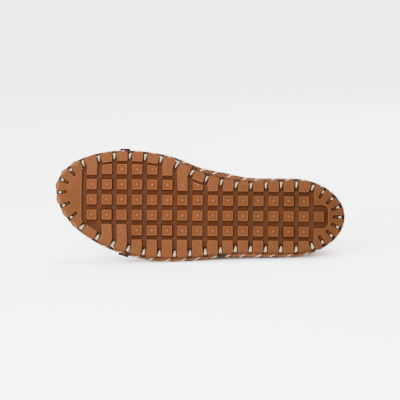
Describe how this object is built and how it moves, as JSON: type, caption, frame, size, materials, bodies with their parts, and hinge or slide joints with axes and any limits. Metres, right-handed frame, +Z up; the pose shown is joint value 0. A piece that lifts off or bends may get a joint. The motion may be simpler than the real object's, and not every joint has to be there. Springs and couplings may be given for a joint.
{
  "type": "slip-on shoe",
  "caption": "Right leather slip-on shoe on a gum rubber sole with square lugs and a whip-stitched rim, lying on its outer side.",
  "frame": {"origin": "middle of the bounding box's bottom, on the floor that the shoe lies on", "axes": "+X towards the heel along the shoe's length, +Y from the sole towards the upper, +Z up from the outer side to the inner side"},
  "size_m": [0.2856, 0.0752, 0.111],
  "materials": {
    "gum_rubber": "matt brown gum rubber",
    "tan_leather": "smooth tan leather with a soft sheen",
    "lining": "plain undyed leather",
    "rand_leather": "tan leather strip with a cut edge",
    "strap_leather": "tan leather strap"
  },
  "bodies": {
    "root": {"outsole": "gum_rubber", "upper": "tan_leather", "insole": "lining", "rand": "rand_leather", "toe_strap": "strap_leather", "instep_strap": "strap_leather"}
  },
  "joints": []
}
